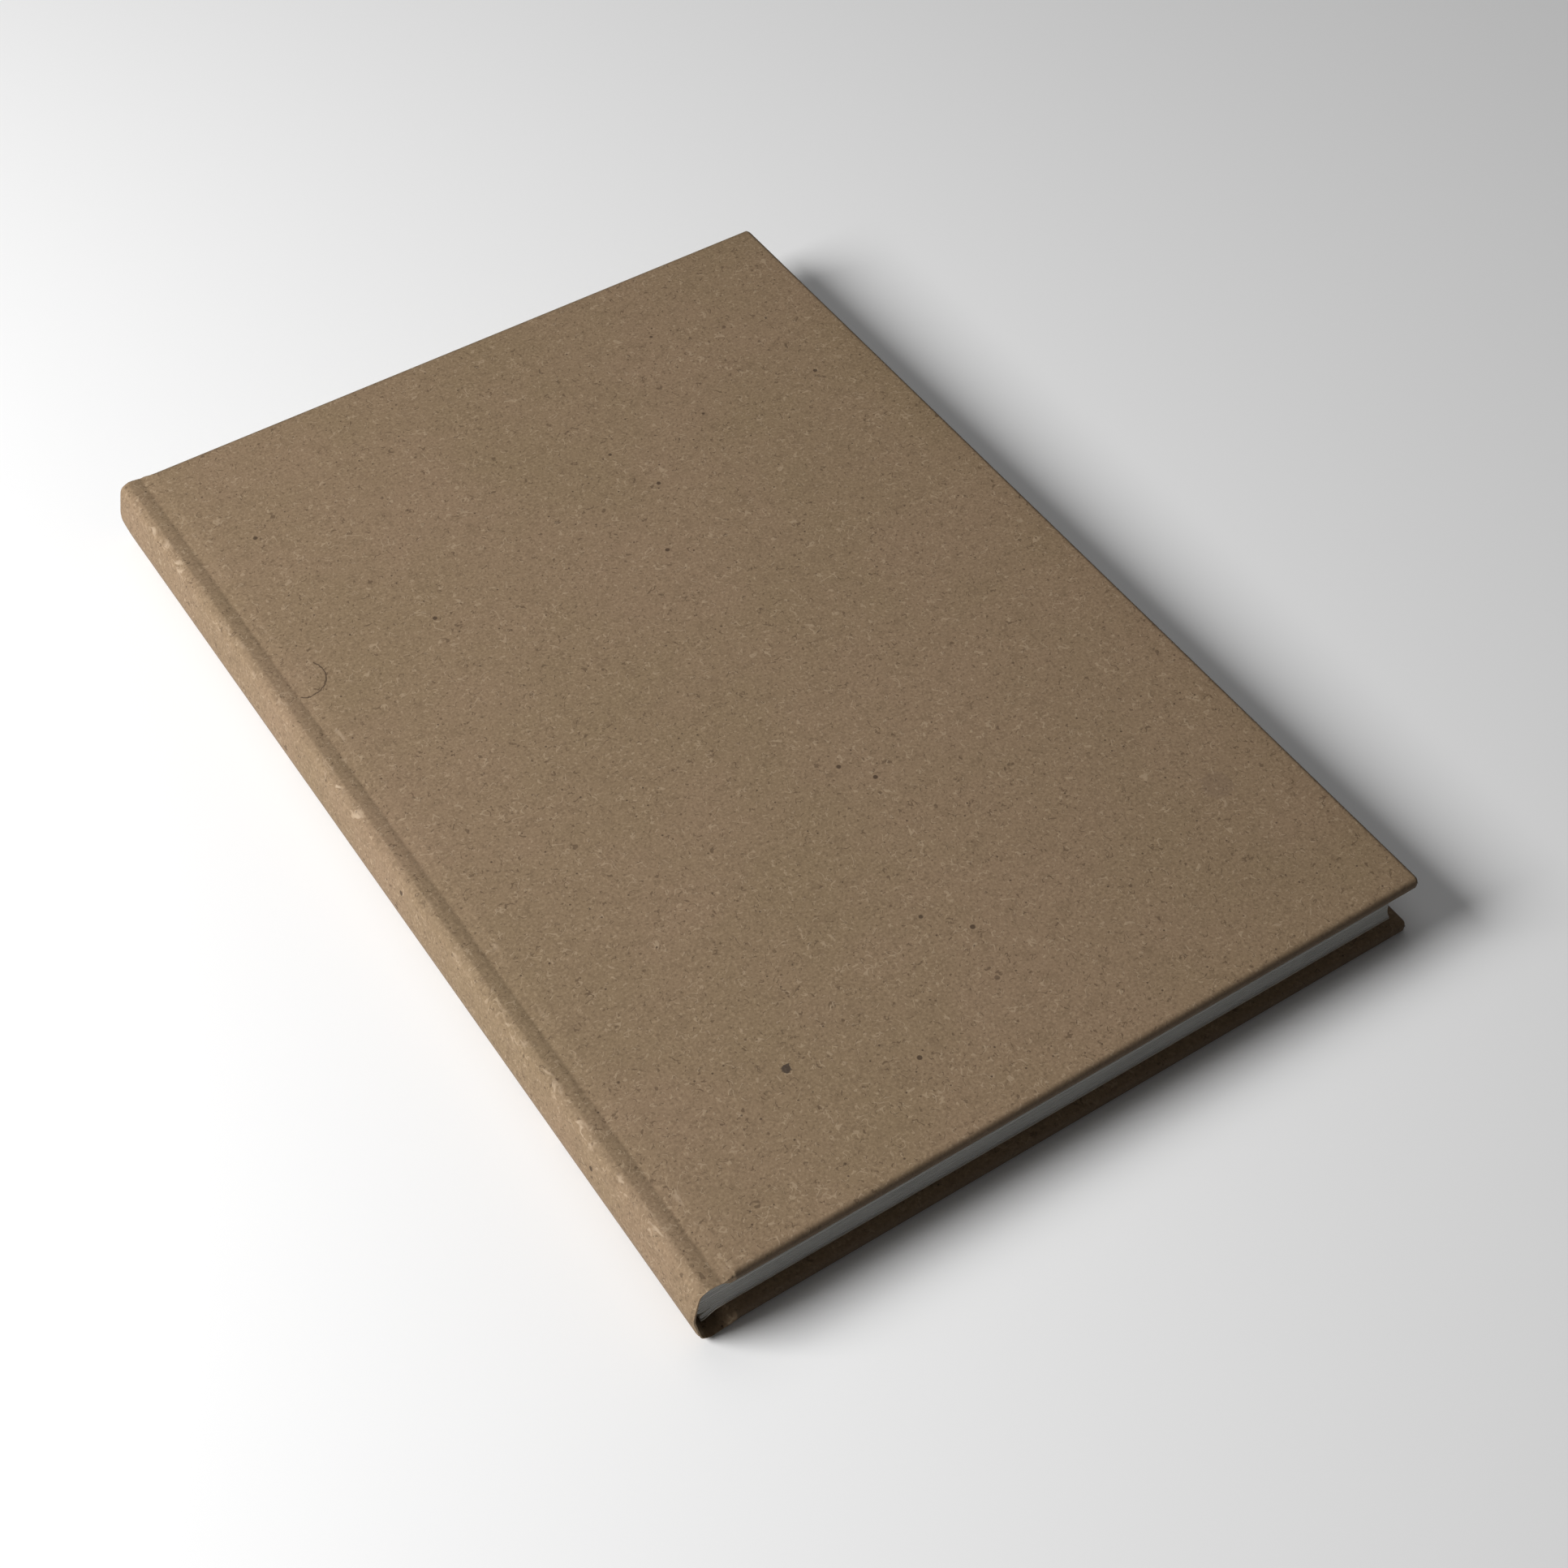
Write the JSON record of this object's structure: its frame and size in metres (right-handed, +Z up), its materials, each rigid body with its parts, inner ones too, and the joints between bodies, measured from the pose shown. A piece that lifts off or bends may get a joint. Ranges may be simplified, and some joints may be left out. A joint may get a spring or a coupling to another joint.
{
  "type": "sketchbook",
  "caption": "Closed A5 hardcover sketchbook with kraft paper covers, rounded spine, grooved joints and sewn sections of drawing paper; covers open and the leaves fan out.",
  "frame": {"origin": "middle of the closed book's footprint, on the surface it lies on", "axes": "+X from the spine to the fore-edge, +Y from the tail to the head, +Z up out of the front cover"},
  "size_m": [0.149, 0.215, 0.0148],
  "materials": {
    "kraft_paper": "matte",
    "greyboard": "matte",
    "endpaper": "matte",
    "cartridge_paper": "matte",
    "lining_paper": "matte",
    "mull_gauze": "matte",
    "linen_thread": "matte"
  },
  "bodies": {
    "text_block": {"section_7": "cartridge_paper", "back_flyleaf": "endpaper", "sewing_thread": "linen_thread", "mull": "mull_gauze", "spine_lining": "lining_paper", "spine_inlay": "greyboard", "spine_paper": "kraft_paper", "front_joint_paper": "kraft_paper", "back_joint_paper": "kraft_paper", "front_endpaper_hinge": "endpaper", "back_endpaper_hinge": "endpaper"},
    "front_cover": {"front_board": "greyboard", "front_cover_paper": "kraft_paper", "front_pastedown": "endpaper", "front_mull_flange": "mull_gauze"},
    "back_cover": {"back_board": "greyboard", "back_cover_paper": "kraft_paper", "back_pastedown": "endpaper", "back_mull_flange": "mull_gauze"},
    "front_free_leaf": {"front_flyleaf": "endpaper"},
    "section_1_leaves": {"section_1": "cartridge_paper"},
    "section_2_leaves": {"section_2": "cartridge_paper"},
    "section_3_leaves": {"section_3": "cartridge_paper"},
    "section_4_leaves": {"section_4": "cartridge_paper"},
    "section_5_leaves": {"section_5": "cartridge_paper"},
    "section_6_leaves": {"section_6": "cartridge_paper"}
  },
  "joints": [
    {"name": "front_cover_hinge", "type": "hinge", "parent": "text_block", "child": "front_cover", "pos_m": [-0.071, 0, 0.0123], "axis": [0, -1, 0], "range_deg": [0, 179.5], "deforming": ["front_joint_paper", "front_endpaper_hinge", "mull"]},
    {"name": "back_cover_hinge", "type": "hinge", "parent": "text_block", "child": "back_cover", "pos_m": [-0.071, 0, 0.0025], "axis": [0, 1, 0], "range_deg": [0, 179.5], "deforming": ["back_joint_paper", "back_endpaper_hinge"]},
    {"name": "section_1_turn", "type": "hinge", "parent": "text_block", "child": "section_1_leaves", "pos_m": [-0.0712, 0, 0.0113], "axis": [0, -1, 0], "range_deg": [0, 77.8]},
    {"name": "section_2_turn", "type": "hinge", "parent": "text_block", "child": "section_2_leaves", "pos_m": [-0.0712, 0, 0.01], "axis": [0, -1, 0], "range_deg": [0, 64.9]},
    {"name": "section_3_turn", "type": "hinge", "parent": "text_block", "child": "section_3_leaves", "pos_m": [-0.0712, 0, 0.0087], "axis": [0, -1, 0], "range_deg": [0, 51.9]},
    {"name": "section_4_turn", "type": "hinge", "parent": "text_block", "child": "section_4_leaves", "pos_m": [-0.0712, 0, 0.0074], "axis": [0, -1, 0], "range_deg": [0, 38.9]},
    {"name": "section_5_turn", "type": "hinge", "parent": "text_block", "child": "section_5_leaves", "pos_m": [-0.0712, 0, 0.0061], "axis": [0, -1, 0], "range_deg": [0, 26]},
    {"name": "section_6_turn", "type": "hinge", "parent": "text_block", "child": "section_6_leaves", "pos_m": [-0.0712, 0, 0.0048], "axis": [0, -1, 0], "range_deg": [0, 13]},
    {"name": "front_flyleaf_turn", "type": "hinge", "parent": "section_1_leaves", "child": "front_free_leaf", "pos_m": [-0.0672, 0, 0.01204], "axis": [0, -1, 0], "range_deg": [0, 31.9]}
  ],
  "couplings": [
    {"joint": "section_1_turn", "follows": "front_cover_hinge", "ratio": 0.43333},
    {"joint": "section_2_turn", "follows": "front_cover_hinge", "ratio": 0.36111},
    {"joint": "section_3_turn", "follows": "front_cover_hinge", "ratio": 0.28888},
    {"joint": "section_4_turn", "follows": "front_cover_hinge", "ratio": 0.21666},
    {"joint": "section_5_turn", "follows": "front_cover_hinge", "ratio": 0.14444},
    {"joint": "section_6_turn", "follows": "front_cover_hinge", "ratio": 0.07222},
    {"joint": "front_flyleaf_turn", "follows": "front_cover_hinge", "ratio": 0.1777}
  ]
}
